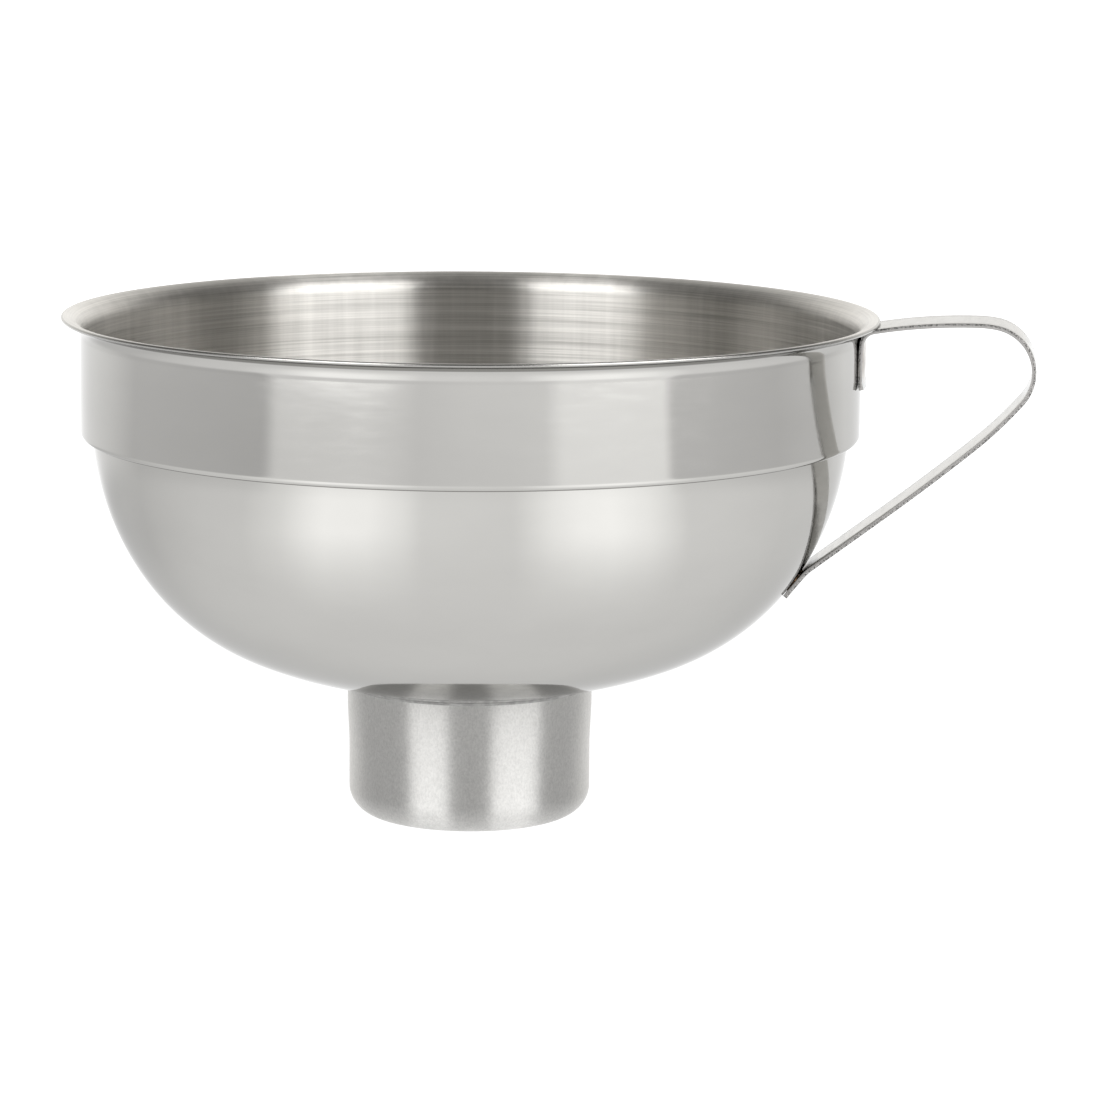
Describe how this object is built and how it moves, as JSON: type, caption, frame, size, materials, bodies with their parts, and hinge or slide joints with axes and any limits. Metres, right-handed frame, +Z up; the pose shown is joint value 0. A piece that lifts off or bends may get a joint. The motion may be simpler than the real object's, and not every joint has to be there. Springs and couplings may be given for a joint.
{
  "type": "canning funnel",
  "caption": "Wide-bowl canning and jam funnel in polished sheet steel, with a flared lip, a stepped band, a short round spout and a welded strap handle.",
  "frame": {"origin": "centre of the spout's open end, on the funnel's axis, in the plane the funnel stands on", "axes": "+Z up along the funnel's axis, from the spout to the lip; +X towards the handle; +Y to the handle's left when it's seen from above with the handle pointing away"},
  "size_m": [0.1547, 0.13, 0.0816],
  "materials": {
    "polished_steel": "mirror-polished outside, with fine turning marks round the inside",
    "satin_steel": "satin, slightly mottled, as drawn",
    "weld_metal": "fine wiped weld bead",
    "strap_steel": "polished faces, rough sheared edges",
    "heat_tinted_weld": "brown heat tint"
  },
  "bodies": {
    "root": {"bowl": "polished_steel", "spout": "satin_steel", "spout_weld_bead": "weld_metal", "handle": "strap_steel", "upper_spot_welds": "heat_tinted_weld", "lower_spot_welds": "heat_tinted_weld"}
  },
  "joints": []
}
